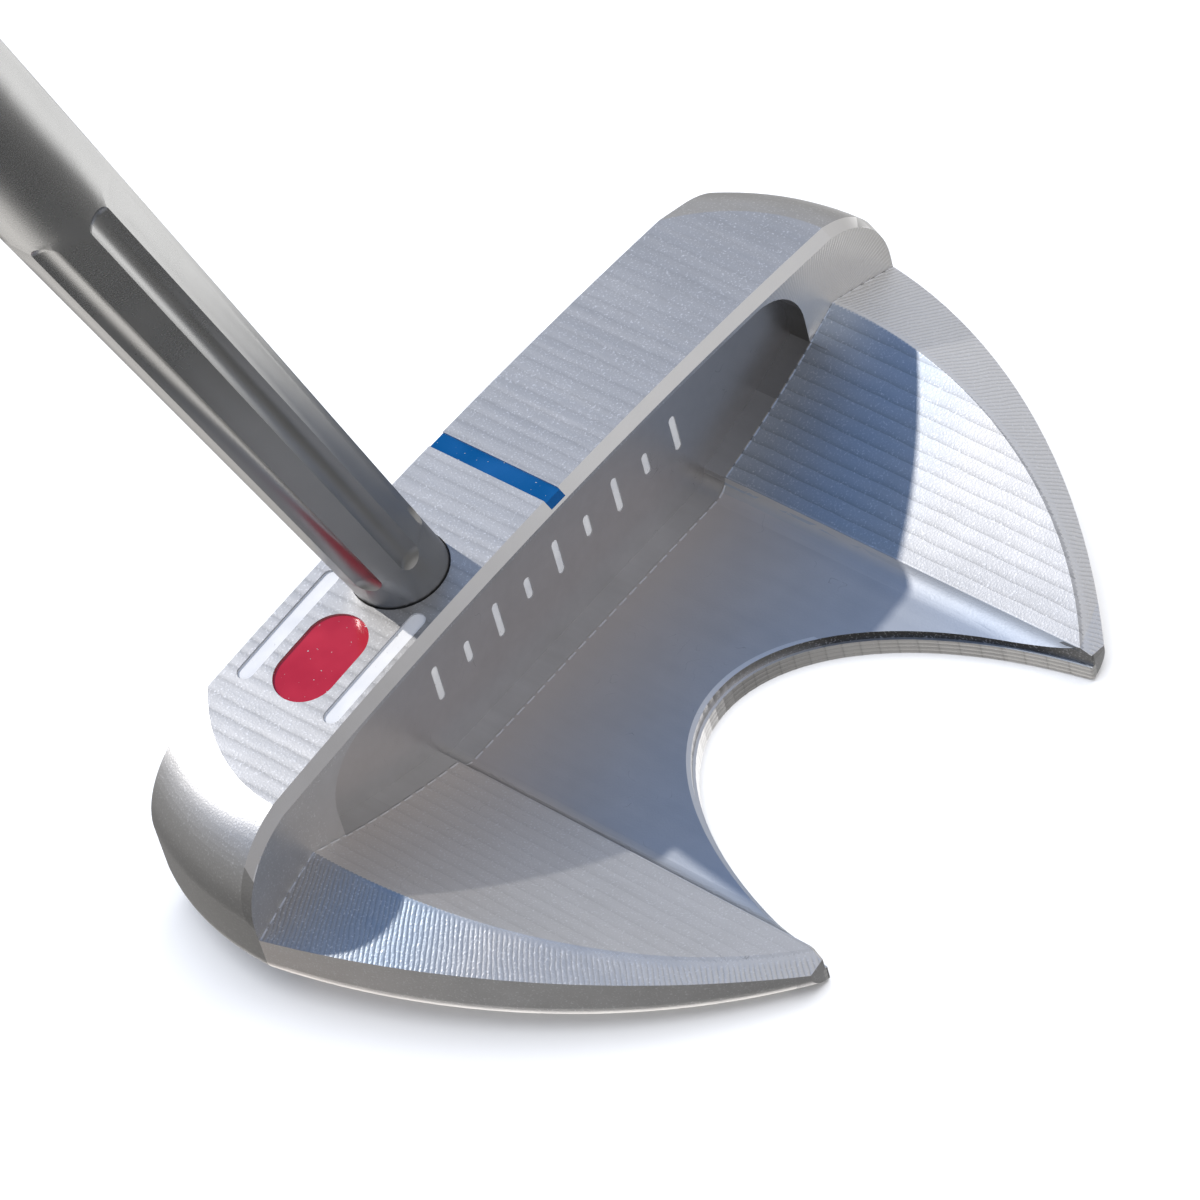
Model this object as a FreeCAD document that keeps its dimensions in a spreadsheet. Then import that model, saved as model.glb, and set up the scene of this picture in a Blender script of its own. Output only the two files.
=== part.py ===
# Mallet putter: milled half-moon head, fluted steel shaft and rubber putter grip.
#
# The pieces of the head are drawn in the head's own frame: the origin is the top of the
# crown at the middle of the strike face, +X runs to the toe, +Y to the target and +Z up.
# The pieces on the shaft are drawn in the shaft's frame: its origin is where the shaft's
# axis passes the height of the crown, and +Z runs up the axis to the grip.
# Each finished piece is then placed, so that the flat of the sole lies on Z = 0.
import FreeCAD, Part
import math
import os
import re
import Sketcher

Vector = FreeCAD.Vector

doc = FreeCAD.newDocument("MalletPutter")
sheet = doc.addObject("Spreadsheet::Sheet", "Sizes")

# Millimetres, degrees or counts.
SIZES = {
    # front bar of the head
    "half_length": 49.5, "head_height": 22.4, "top_depth": 14.6, "band_size": 1.0,
    "loft_angle": 3, "crown_radius": 431, "shoulder_radius": 9.4, "shoulder_entry": 20,
    "end_bow_radius": 31,
    # outline of the half-moon wings, and their domed rim
    "wing_radius": 77.4, "wing_reach": 60.3, "tip_half_span": 23.1,
    "rim_peak_drop": 4.0, "rim_span_radius": 129.7, "rim_fall_radius": 84.2,
    # dished top of the wings, with the trough between them
    "floor_drop": 19, "step_half_width": 20.9, "step_rise": 1.6, "floor_round": 2,
    "dish_radius": 105, "dish_end_rise": 16.3, "dish_fall": 0.8, "dish_overrun": 4.5,
    # crescent cut out of the rear
    "crescent_half_width": 22, "crescent_depth": 42.4, "crescent_start": 31.3,
    "ledge_drop": 20.4, "ledge_width": 0.3,
    # recess in the back of the bar
    "recess_depth": 2.6, "recess_half_flat": 29.7, "recess_end_radius": 6.5,
    "recess_middle_drop": 9, "recess_step": 0.12,
    # sole
    "sole_flat_half": 12, "sole_radius": 205, "sole_edge": 2.4, "face_to_origin": 15,
    # enamel in the crown, and paint in the recess
    "pocket_depth": 0.8, "fill_gap": 0.2, "dot_length": 11, "dot_width": 6.6,
    "dot_to_middle": 26.7, "line_length": 14.6, "line_width": 1.8, "line_to_middle": 25.1,
    "line_spread": 11, "sight_width": 2.1,
    "tick_count": 9, "tick_pitch": 4.6, "tick_long": 4.6, "tick_short": 2.8,
    "tick_width": 0.9, "tick_depth": 0.3, "tick_fill": 0.2, "tick_drop": 10,
    # shaft
    "shaft_lean": 18, "shaft_to_middle": 14.64, "shaft_setback": 7.64,
    "insert_depth": 16, "glue_gap": 0.15, "tip_radius": 4.7, "swell_radius": 5.9,
    "swell_height": 95, "butt_radius": 7.4, "shaft_height": 837,
    "tip_wall": 1.2, "butt_wall": 0.5,
    "flute_count": 6, "flute_start": 4.4, "flute_length": 72.7, "flute_cutter": 2.1,
    "flute_depth": 0.65, "tip_plug_length": 12,
    # grip
    "grip_length": 262, "tape_thickness": 0.25, "mouth_wall": 1.6,
    "belly_radius": 14.2, "belly_drop": 70, "top_radius": 13.2,
    "flat_at_mouth": 8.4, "flat_at_top": 10.4, "cap_thickness": 3, "cap_dome": 1.2,
    "cap_plug_length": 10, "cap_plug_gap": 0.05, "vent_radius": 0.8,
}
for row, (name, value) in enumerate(SIZES.items(), start=1):
    sheet.set(f"A{row}", name)
    sheet.set(f"B{row}", str(value))
    sheet.setAlias(f"B{row}", name)
doc.recompute()

# Lengths that several pieces share, written with the sheet's names.
BAR_DEPTH = "(top_depth + band_size)"
LEAD = "(head_height * tan(loft_angle))"
OVERRUN = "(half_length + dish_overrun)"
RECESS_WALL = f"({BAR_DEPTH} - recess_depth)"
GRIP_START = "(shaft_height - grip_length)"


def in_sheet(expression):
    """The expression with Sizes. put before each of the sheet's names."""
    def add_owner(word):
        return f"Sizes.{word[0]}" if word[0] in SIZES else word[0]
    return re.sub(r"[a-z]\w*", add_owner, expression)


def size(expression):
    """The number that an expression gives now."""
    return float(sheet.evalExpression(in_sheet(expression)))


def bind(thing, **properties):
    """Tie properties of an object to the sheet; two underscores stand for a dot."""
    for name, expression in properties.items():
        thing.setExpression(name.replace("__", "."), in_sheet(expression))


# ---------------------------------------------------------------- sketches

def arc_between(start, end, radius, side):
    """The short arc from start to end, its centre to the left (side 1) or right (-1)."""
    chord = end - start
    left = Vector(-chord.y, chord.x, 0).normalize()
    reach = math.sqrt(max(radius ** 2 - (chord.Length / 2) ** 2, 0))
    centre = (start + end) / 2 + left * reach * side
    first, last = (start, end) if side > 0 else (end, start)
    from_angle = math.atan2(first.y - centre.y, first.x - centre.x)
    to_angle = math.atan2(last.y - centre.y, last.x - centre.x)
    circle = Part.Circle(centre, Vector(0, 0, 1), radius)
    return Part.ArcOfCircle(circle, from_angle, to_angle)


def hold(sketch, direction, axis, geometry, point, expression):
    """Hold one coordinate of a point at an expression, or on the axis where that is 0."""
    if expression == "0":
        sketch.addConstraint(Sketcher.Constraint("PointOnObject", geometry, point, axis))
        return
    constraint = Sketcher.Constraint(direction, -1, 1, geometry, point, size(expression))
    index = sketch.addConstraint(constraint)
    sketch.setExpression(f"Constraints[{index}]", in_sheet(expression))


def outline(sketch, corners, arcs=None):
    """Draw a closed outline through corners, which are pairs of expressions.

    arcs maps the number of a segment to its radius and the side of its centre.
    """
    arcs = arcs or {}
    spots = [Vector(size(x), size(y), 0) for x, y in corners]
    ends = []
    for number, start in enumerate(spots):
        end = spots[(number + 1) % len(spots)]
        if number in arcs:
            radius, side = arcs[number]
            piece = arc_between(start, end, size(radius), side)
            points = (1, 2) if side > 0 else (2, 1)
        else:
            piece = Part.LineSegment(start, end)
            points = (1, 2)
        ends.append((sketch.addGeometry(piece, False), *points))
    for number, (geometry, _, last) in enumerate(ends):
        after, first, _ = ends[(number + 1) % len(ends)]
        sketch.addConstraint(Sketcher.Constraint("Coincident", geometry, last, after, first))
    for (geometry, first, _), (x, y) in zip(ends, corners):
        hold(sketch, "DistanceX", -2, geometry, first, x)
        hold(sketch, "DistanceY", -1, geometry, first, y)
    for number, (radius, _) in arcs.items():
        constraint = Sketcher.Constraint("Radius", ends[number][0], size(radius))
        index = sketch.addConstraint(constraint)
        sketch.setExpression(f"Constraints[{index}]", in_sheet(radius))
    return sketch


def mirrored(right_half):
    """Corners of a whole outline from its right half, which runs bottom to top."""
    return right_half + [(f"-({x})", y) for x, y in reversed(right_half)]


def slot(sketch, middle, half_span, radius, upright=False):
    """Draw a slot with round ends, half_span from its middle to each end's centre."""
    along = [(half_span, f"-({radius})"), (f"{half_span} + {radius}", "0"),
             (half_span, radius), (f"-({half_span})", radius),
             (f"-({half_span} + {radius})", "0"), (f"-({half_span})", f"-({radius})")]
    if upright:
        along = [(f"-({y})", x) for x, y in along]
    corners = [(f"{middle[0]} + ({x})", f"{middle[1]} + ({y})") for x, y in along]
    return outline(sketch, corners, {n: (radius, 1) for n in (0, 1, 3, 4)})


def body_sketch(body, name, plane, offset="0"):
    """A sketch on one of a body's own planes, moved along the plane's normal."""
    sketch = body.newObject("Sketcher::SketchObject", name)
    support = next(f for f in body.Origin.OriginFeatures if f.Role == plane)
    sketch.AttachmentSupport = [(support, "")]
    sketch.MapMode = "FlatFace"
    bind(sketch, AttachmentOffset__Base__z=offset)
    return sketch


def plan_sketch(name, height):
    """A loose sketch seen from above, at a height in the head's frame."""
    sketch = doc.addObject("Sketcher::SketchObject", name)
    bind(sketch, Placement__Base__z=height)
    return sketch


def rear_sketch(name, setback):
    """A loose sketch that faces the rear, a setback behind the strike face."""
    sketch = doc.addObject("Sketcher::SketchObject", name)
    sketch.Placement.Rotation = FreeCAD.Rotation(Vector(1, 0, 0), 90)
    bind(sketch, Placement__Base__y=f"-({setback})")
    return sketch


# ---------------------------------------------------------------- features

def pad(body, sketch, length):
    feature = body.newObject("PartDesign::Pad", f"{sketch.Name}_pad")
    feature.Profile = sketch
    feature.Reversed = True
    bind(feature, Length=length)
    doc.recompute()
    return feature


def pocket(body, sketch, length, both_ways=False):
    """Cut a sketch out of a body along its normal, or both ways from its plane."""
    feature = body.newObject("PartDesign::Pocket", f"{sketch.Name}_pocket")
    feature.Profile = sketch
    if both_ways:
        feature.SideType = "Symmetric"
    else:
        feature.Reversed = True
    bind(feature, Length=length)
    doc.recompute()
    return feature


def bevel(body, sketch):
    """Cut a sketch on the bar's rear edge out of a body, backwards and down at 45 degrees."""
    feature = body.newObject("PartDesign::Pocket", f"{sketch.Name}_bevel")
    feature.Profile = sketch
    feature.UseCustomVector = True
    feature.Direction = Vector(0, 1, 1)
    feature.AlongSketchNormal = True
    feature.Reversed = True
    bind(feature, Length="2 * band_size")
    doc.recompute()
    return feature


def turned(body, kind, sketch, axis="V_Axis", angle=360, reverse=False):
    """A Revolution or a Groove of a sketch about one of its axes."""
    feature = body.newObject(f"PartDesign::{kind}", f"{sketch.Name}_{kind.lower()}")
    feature.Profile = sketch
    feature.ReferenceAxis = (sketch, [axis])
    feature.Angle = angle
    feature.Reversed = reverse
    doc.recompute()
    return feature


def edge_names(shape, wanted):
    return [f"Edge{n}" for n, edge in enumerate(shape.Edges, start=1) if wanted(edge)]


def fillet(body, wanted, radius):
    """Round the edges of a body's tip that a test picks."""
    base = body.Tip
    feature = body.newObject("PartDesign::Fillet", f"{body.Name}_fillet")
    feature.Base = (base, edge_names(base.Shape, wanted))
    bind(feature, Radius=radius)
    doc.recompute()
    return feature


def prism(sketch, length):
    """Extrude a loose sketch along its normal."""
    feature = doc.addObject("Part::Extrusion", f"{sketch.Name}_prism")
    feature.Base = sketch
    feature.DirMode = "Normal"
    feature.Solid = True
    bind(feature, LengthFwd=length)
    return feature


def boolean(kind, name, first, second):
    feature = doc.addObject(f"Part::{kind}", name)
    feature.Base = first
    feature.Tool = second
    return feature


def crown_cylinder(name, inset):
    """Everything under the crown's surface, or under one that lies inset below it."""
    cylinder = doc.addObject("Part::Cylinder", name)
    cylinder.Placement.Rotation = FreeCAD.Rotation(Vector(1, 0, 0), 90)
    bind(cylinder, Radius=f"crown_radius - {inset}", Height="4 * half_length",
         Placement__Base__y="2 * half_length", Placement__Base__z="-crown_radius")
    return cylinder


def shaft_cylinder(name, radius, bottom, top):
    """A cylinder on the shaft's axis, drawn in the head's frame."""
    cylinder = doc.addObject("Part::Cylinder", name)
    cylinder.Placement.Rotation = FreeCAD.Rotation(Vector(0, 1, 0), -1)
    bind(cylinder, Radius=radius, Height=f"({top}) - ({bottom})",
         Placement__Rotation__Angle="-shaft_lean",
         Placement__Base__x=f"-shaft_to_middle - sin(shaft_lean) * ({bottom})",
         Placement__Base__y="-shaft_setback",
         Placement__Base__z=f"cos(shaft_lean) * ({bottom})")
    return cylinder


# ---------------------------------------------------------------- head: milled blank

def cut_dish(sketch, fall="0"):
    """Draw the space above the wings: two dished slopes, two steps and a flat trough."""
    foot = "(step_half_width - sqrt(floor_round^2 - (floor_round - step_rise)^2))"
    half = [(foot, "-floor_drop"), ("step_half_width", "step_rise - floor_drop"),
            (OVERRUN, "dish_end_rise - floor_drop"), (OVERRUN, "band_size")]
    half = [(x, f"{z} - {fall}") for x, z in half]
    round_parts = {0: ("floor_round", 1), 1: ("dish_radius", 1),
                   5: ("dish_radius", 1), 6: ("floor_round", 1)}
    return outline(sketch, mirrored(half), round_parts)


def arched(radius, drop):
    """Height at the overrun of an arc that peaks a drop below the crown."""
    return f"sqrt({radius}^2 - {OVERRUN}^2) - {radius} - {drop}"


def crown_section(sketch):
    """Draw what is free above the arched crown."""
    edge = arched("crown_radius", "0")
    return outline(sketch, [(f"-{OVERRUN}", edge), (OVERRUN, edge),
                            (OVERRUN, "shoulder_radius"), (f"-{OVERRUN}", "shoulder_radius")],
                   {0: ("crown_radius", -1)})


def shoulder_section(sketch, side, reach_out):
    """Draw what the shoulder leaves free above one end of the bar, out to reach_out."""
    middle = "(half_length - shoulder_radius)"
    height = "(sqrt((crown_radius - shoulder_radius)^2 - (half_length - shoulder_radius)^2)" \
             " - crown_radius)"
    entry = (f"{middle} + shoulder_radius * sin(shoulder_entry)",
             f"{height} + shoulder_radius * cos(shoulder_entry)")
    inner = (f"{middle} - shoulder_radius / 2",
             f"{entry[1]} + ({entry[0]} - {middle} + shoulder_radius / 2) * tan(shoulder_entry)")
    corners = [("half_length", height), entry, inner, (inner[0], "shoulder_radius"),
               (reach_out, "shoulder_radius"), (reach_out, height)]
    corners = [(f"{side} * ({x})", z) for x, z in corners]
    return outline(sketch, corners, {0: ("shoulder_radius", side)})


def shape_crown(body):
    """Arch the crown, round its ends down to the bowed ends of the bar, bevel its rear."""
    crown = body_sketch(body, "Crown", "XZ_Plane")
    crown_section(crown)
    pocket(body, crown, "4 * half_length", both_ways=True)
    band = body_sketch(body, "CrownBand", "XZ_Plane", "top_depth")
    bevel(body, crown_section(band))
    for side, name in ((1, "Toe"), (-1, "Heel")):
        around = body_sketch(body, f"{name}Turn", "XZ_Plane", "top_depth")
        shoulder_section(around, side, "(2 * half_length)")
        post = around.addGeometry(Part.LineSegment(Vector(side, 0, 0), Vector(side, 9, 0)), True)
        for point, height in ((1, "-half_length"), (2, "half_length")):
            hold(around, "DistanceX", -2, post, point, f"{side} * (half_length - end_bow_radius)")
            hold(around, "DistanceY", -1, post, point, height)
        turned(body, "Groove", around, "Axis0", 90, side < 0)
        band = body_sketch(body, f"{name}Band", "XZ_Plane", "top_depth")
        bevel(body, shoulder_section(band, side, OVERRUN))


def make_blank():
    """The milled head before anything is engraved, bored or scooped out of it."""
    body = doc.addObject("PartDesign::Body", "HeadBlank")

    bar = body_sketch(body, "BarPlan", "XY_Plane")
    front = f"({LEAD} + band_size)"
    reach = f"sqrt(end_bow_radius^2 - (top_depth + {front})^2)"
    outline(bar, mirrored([("half_length", f"-{BAR_DEPTH}"), ("half_length", "-top_depth"),
                           (f"half_length - end_bow_radius + {reach}", front)]),
            {1: ("end_bow_radius", 1), 3: ("end_bow_radius", 1)})
    pad(body, bar, "head_height")
    shape_crown(body)

    wings = body_sketch(body, "WingPlan", "XY_Plane", "-rim_peak_drop")
    outline(wings, mirrored([("tip_half_span", "-wing_reach"),
                             ("half_length", f"-{BAR_DEPTH}")]),
            {0: ("wing_radius", 1), 2: ("wing_radius", 1)})
    pad(body, wings, "head_height - rim_peak_drop")

    rim = body_sketch(body, "Rim", "XZ_Plane", BAR_DEPTH)
    edge = arched("rim_span_radius", "rim_peak_drop")
    outline(rim, [(f"-{OVERRUN}", edge), (OVERRUN, edge), (OVERRUN, "shoulder_radius"),
                  (f"-{OVERRUN}", "shoulder_radius")], {0: ("rim_span_radius", -1)})
    hinge = rim.addGeometry(Part.LineSegment(Vector(-1, -80, 0), Vector(1, -80, 0)), True)
    rim.addConstraint(Sketcher.Constraint("Horizontal", hinge))
    for point, along in ((1, "-half_length"), (2, "half_length")):
        hold(rim, "DistanceX", -2, hinge, point, along)
    hold(rim, "DistanceY", -1, hinge, 1, "-(rim_peak_drop + rim_fall_radius)")
    turned(body, "Groove", rim, "Axis0", 60)

    dish = cut_dish(body_sketch(body, "Dish", "XZ_Plane", BAR_DEPTH))
    rear = cut_dish(body_sketch(body, "DishRear", "XZ_Plane", "wing_reach"), "dish_fall")
    sloping = body.newObject("PartDesign::SubtractiveLoft", "Dish_loft")
    sloping.Profile = dish
    sloping.Sections = [(rear, [""])]
    sloping.Ruled = True
    doc.recompute()

    sole = body_sketch(body, "Sole", "XZ_Plane")
    rise = f"sole_radius - sqrt(sole_radius^2 - ({OVERRUN} - sole_flat_half)^2) - head_height"
    outline(sole, mirrored([("sole_flat_half", "-head_height"), (OVERRUN, rise),
                            (OVERRUN, "-2 * head_height")][::-1]),
            {1: ("sole_radius", -1), 3: ("sole_radius", -1)})
    pocket(body, sole, "4 * half_length", both_ways=True)

    loft = body_sketch(body, "Loft", "YZ_Plane")
    ahead = "(3 * band_size)"
    outline(loft, [(f"-{ahead} * tan(loft_angle)", ahead),
                   ("2 * head_height * tan(loft_angle)", "-2 * head_height"),
                   (f"{LEAD} + 2 * {ahead}", "-2 * head_height"), (f"{LEAD} + 2 * {ahead}", ahead)])
    pocket(body, loft, "4 * half_length", both_ways=True)

    rim_foot = 0.75 * size("head_height")
    fillet(body, lambda e: e.BoundBox.ZMax < -rim_foot and e.BoundBox.YLength > 0.5
          and abs(e.BoundBox.Center.x) > size("tip_half_span"), "sole_edge")
    return body


# ---------------------------------------------------------------- head: cut-outs

def ellipse_prism(name, widening, bottom):
    """The crescent's ellipse, widened, from a height up past the top of the head."""
    ellipse = doc.addObject("Part::Ellipse", name)
    ellipse.Placement.Rotation = FreeCAD.Rotation(Vector(0, 0, 1), 90)
    bind(ellipse, MajorRadius=f"crescent_depth + {widening}",
         MinorRadius=f"crescent_half_width + {widening}",
         Placement__Base__y="-(crescent_start + crescent_depth)", Placement__Base__z=bottom)
    return prism(ellipse, "3 * head_height")


def make_recess():
    """The shallow recess in the back of the bar, a small step deeper than the wings."""
    frame = rear_sketch("RecessFrame", RECESS_WALL)
    top = "recess_end_radius - recess_middle_drop"
    side = "recess_half_flat + recess_end_radius"
    outline(frame, mirrored([(side, "-2 * head_height"), (side, "-recess_middle_drop"),
                             ("recess_half_flat", top)]),
            {1: ("recess_end_radius", 1), 2: ("crown_radius", 1), 3: ("recess_end_radius", 1)})
    dish = cut_dish(rear_sketch("RecessDish", RECESS_WALL), "recess_step")
    return boolean("Common", "Recess", prism(frame, "2 * recess_depth"),
                   prism(dish, "2 * recess_depth"))


def enamel(name, label, draw):
    """A pocket in the crown and the enamel that fills it to just below the crown."""
    sketch = plan_sketch(name, "-4 * pocket_depth")
    draw(sketch)
    block = prism(sketch, "8 * pocket_depth")
    floor = crown_cylinder(f"{name}Floor", "pocket_depth")
    surface = crown_cylinder(f"{name}Surface", "fill_gap")
    filled = boolean("Common", f"{name}Filled", block, surface)
    fill = boolean("Cut", f"{name}Fill", filled, floor)
    return boolean("Cut", f"{name}Pocket", block, floor), fill, label


def aim_line(sketch, spread):
    slot(sketch, ("-line_to_middle", f"-shaft_setback + {spread}"),
         "(line_length - line_width) / 2", "line_width / 2")


def sight_bar(sketch):
    outline(sketch, mirrored([("sight_width / 2", "-half_length"),
                              ("sight_width / 2", "half_length")]))


def ticks(name, setback, thickness):
    """A row of upright gauge marks, long and short in turn, on the recess's back wall."""
    sketch = rear_sketch(name, setback)
    for number in range(int(size("tick_count"))):
        length = "tick_short" if number % 2 else "tick_long"
        place = f"({number} - (tick_count - 1) / 2) * tick_pitch"
        slot(sketch, (place, "-tick_drop"), f"({length} - tick_width) / 2", "tick_width / 2",
             upright=True)
    return prism(sketch, thickness)


blank = make_blank()
tools = [
    ellipse_prism("Crescent", "0", "-2 * head_height"),
    ellipse_prism("CrescentLedge", "ledge_width", "-ledge_drop"),
    make_recess(),
]
fills = [
    enamel("Dot", "aim_dot_fill", lambda sketch: slot(
        sketch, ("-dot_to_middle", "-shaft_setback"), "(dot_length - dot_width) / 2",
        "dot_width / 2")),
    enamel("FaceLine", "aim_line_fill_face_side", lambda s: aim_line(s, "line_spread / 2")),
    enamel("BackLine", "aim_line_fill_back_side", lambda s: aim_line(s, "-line_spread / 2")),
    enamel("Sight", "sight_line_fill", sight_bar),
]
tick_wall = f"({RECESS_WALL} - tick_depth)"
bore = shaft_cylinder("Bore", "tip_radius + glue_gap", "-insert_depth - glue_gap", "half_length")
tools += [pocket_tool for pocket_tool, _, _ in fills]
tools += [ticks("TickCutter", tick_wall, "recess_depth"), bore]

head = blank
for tool in tools:
    head = boolean("Cut", f"HeadLess{tool.Name}", head, tool)

# ---------------------------------------------------------------- shaft

def turned_piece(name, corners, arcs=None):
    """A piece turned about the shaft's axis from its half section."""
    body = doc.addObject("PartDesign::Body", name)
    section = body_sketch(body, f"{name}Section", "XZ_Plane")
    outline(section, corners, arcs)
    turned(body, "Revolution", section)
    return body


def shaft_radius(height):
    """Outer radius of the shaft at a height above the swell."""
    taper = "(butt_radius - swell_radius) / (shaft_height - swell_height)"
    return f"(swell_radius + ({height} - swell_height) * {taper})"


def cut_flutes(body):
    """Scoop round-ended flutes out of the swelling part of the shaft."""
    lead_in = "(flute_start + flute_cutter)"
    swelling = "(swell_radius - tip_radius) / swell_height"
    scoop = body_sketch(body, "Flute", "YZ_Plane")
    scoop.AttachmentOffset.Rotation = FreeCAD.Rotation(Vector(0, 0, 1), 1)
    bind(scoop, AttachmentOffset__Rotation__Angle=f"atan({swelling})",
         AttachmentOffset__Base__x=f"flute_depth - flute_cutter - tip_radius"
                                   f" - {lead_in} * {swelling}",
         AttachmentOffset__Base__y=lead_in)
    run = "(flute_length - 2 * flute_cutter)"
    outline(scoop, [("0", "-flute_cutter"), ("-flute_cutter", "0"), ("-flute_cutter", run),
                    ("0", f"{run} + flute_cutter")],
            {0: ("flute_cutter", -1), 2: ("flute_cutter", -1)})
    first = turned(body, "Groove", scoop)
    ring = body.newObject("PartDesign::PolarPattern", "Flutes")
    ring.Originals = [first]
    ring.Axis = (next(f for f in body.Origin.OriginFeatures if f.Role == "Z_Axis"), [""])
    ring.Angle = 360
    body.Tip = ring
    bind(ring, Occurrences="flute_count")


shaft = turned_piece("Shaft", [
    ("tip_radius - tip_wall", "-insert_depth"), ("tip_radius", "-insert_depth"),
    ("tip_radius", "0"), ("swell_radius", "swell_height"), ("butt_radius", "shaft_height"),
    ("butt_radius - butt_wall", "shaft_height"), ("swell_radius - tip_wall", "swell_height"),
    ("tip_radius - tip_wall", "0")])
cut_flutes(shaft)

plug = turned_piece("TipPlug", [
    ("0", "-insert_depth"), ("tip_radius - tip_wall", "-insert_depth"),
    ("tip_radius - tip_wall", "tip_plug_length - insert_depth"),
    ("0", "tip_plug_length - insert_depth")])

# Epoxy: fills the bore around and under the shaft, up to just below the crown.
crown_level = crown_cylinder("EpoxySurface", "fill_gap")
poured = boolean("Common", "EpoxyPoured", bore, crown_level)
inserted = shaft_cylinder("ShaftInBore", "tip_radius", "-insert_depth", "half_length")
epoxy = boolean("Cut", "Epoxy", poured, inserted)

# ---------------------------------------------------------------- grip

mouth = shaft_radius(GRIP_START)
tape = turned_piece("Tape", [
    (mouth, GRIP_START), (f"{mouth} + tape_thickness", GRIP_START),
    ("butt_radius + tape_thickness", "shaft_height"), ("butt_radius", "shaft_height")])

grip = turned_piece("Grip", [
    (f"{mouth} + tape_thickness", GRIP_START),
    (f"{mouth} + tape_thickness + mouth_wall", GRIP_START),
    ("belly_radius", "shaft_height - belly_drop"), ("top_radius", "shaft_height"),
    ("butt_radius + tape_thickness", "shaft_height")], {1: ("4 * grip_length", 1)})
front = body_sketch(grip, "GripFlat", "XZ_Plane")
outline(front, [("flat_at_mouth", GRIP_START), ("2 * belly_radius", GRIP_START),
                ("2 * belly_radius", "shaft_height"), ("flat_at_top", "shaft_height")])
pocket(grip, front, "4 * belly_radius", both_ways=True)

cap = turned_piece("Cap", [
    ("vent_radius", "shaft_height - cap_plug_length"),
    ("butt_radius - butt_wall - cap_plug_gap", "shaft_height - cap_plug_length"),
    ("butt_radius - butt_wall - cap_plug_gap", "shaft_height"), ("top_radius", "shaft_height"),
    ("top_radius", "shaft_height + cap_thickness - cap_dome"),
    ("top_radius - cap_dome", "shaft_height + cap_thickness"),
    ("vent_radius", "shaft_height + cap_thickness")], {4: ("cap_dome", 1)})
front = body_sketch(cap, "CapFlat", "XZ_Plane")
outline(front, [("flat_at_top", "shaft_height"), ("2 * belly_radius", "shaft_height"),
                ("2 * belly_radius", "shaft_height + cap_thickness"),
                ("flat_at_top", "shaft_height + cap_thickness")])
pocket(cap, front, "4 * belly_radius", both_ways=True)

# ---------------------------------------------------------------- pieces in their places

# The fills were left untrimmed where they run out through the edges of the crown.
head_pieces = [(head, "head_body"), (epoxy, "shaft_epoxy"),
               (ticks("TickFill", tick_wall, "tick_fill"), "gauge_tick_fills")]
for _, fill, label in fills:
    head_pieces.append((boolean("Common", f"{fill.Name}Trimmed", fill, blank), label))
shaft_pieces = [(shaft, "shaft"), (plug, "tip_plug"), (tape, "grip_tape"),
                (grip, "grip_body"), (cap, "grip_cap")]

for piece, label in head_pieces:
    piece.Label = label
    bind(piece, Placement__Base__y="face_to_origin", Placement__Base__z="head_height")
for piece, label in shaft_pieces:
    piece.Label = label
    piece.Placement.Rotation = FreeCAD.Rotation(Vector(0, 1, 0), -1)
    bind(piece, Placement__Rotation__Angle="-shaft_lean",
         Placement__Base__x="-shaft_to_middle",
         Placement__Base__y="face_to_origin - shaft_setback",
         Placement__Base__z="head_height")
doc.recompute()

for thing in doc.Objects:
    if {"Invalid", "Error"} & set(thing.State):
        raise RuntimeError(f"{thing.Label} failed to build: {thing.State}")

os.makedirs("parts", exist_ok=True)
for piece, label in head_pieces + shaft_pieces:
    if piece.Shape.isNull() or not piece.Shape.isValid() or not piece.Shape.Solids:
        raise RuntimeError(f"{label} has no sound solid")
    piece.Shape.exportStep(f"parts/{label}.step")
    box = piece.Shape.BoundBox
    print(f"{label}: {len(piece.Shape.Solids)} solid(s), {piece.Shape.Volume:.1f} mm3, "
          f"X {box.XMin:.2f}..{box.XMax:.2f} Y {box.YMin:.2f}..{box.YMax:.2f} "
          f"Z {box.ZMin:.2f}..{box.ZMax:.2f}")
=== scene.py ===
# %% [markdown]
# # A mallet putter, finished in Blender
#
# The solids of the putter come ready made: a milled head, a fluted shaft and a grip. This
# lesson gives them their surfaces. Most of the work is in one material, because a milled
# head shows a different cutter pattern on every face. One piece is added, the tread of the
# grip, and at the end come a floor, two lamps, a room and a camera.

# %% The fixed frame
import math

import bpy
from mathutils import Matrix, Vector


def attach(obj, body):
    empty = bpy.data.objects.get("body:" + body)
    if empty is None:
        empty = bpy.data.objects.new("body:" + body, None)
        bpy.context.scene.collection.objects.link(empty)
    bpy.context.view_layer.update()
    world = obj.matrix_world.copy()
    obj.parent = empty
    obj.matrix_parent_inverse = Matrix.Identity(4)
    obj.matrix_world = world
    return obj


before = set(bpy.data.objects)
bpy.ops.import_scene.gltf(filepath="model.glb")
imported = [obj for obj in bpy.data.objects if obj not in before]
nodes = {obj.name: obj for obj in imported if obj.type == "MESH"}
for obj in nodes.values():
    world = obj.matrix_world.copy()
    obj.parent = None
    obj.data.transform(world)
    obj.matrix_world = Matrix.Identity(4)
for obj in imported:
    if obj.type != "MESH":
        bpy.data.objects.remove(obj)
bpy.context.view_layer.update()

print("nodes:", ", ".join(sorted(nodes)))

# %% [markdown]
# ## Arithmetic with sockets
#
# Node graphs for machined metal are mostly sums: how far a point is from a line, or where
# it is within one groove. They could be wired by hand in the editor, but a sum of forty
# nodes is slow to draw and slower to read. So a small class wraps a socket, and turns
# Python's operators into Math nodes.

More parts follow.
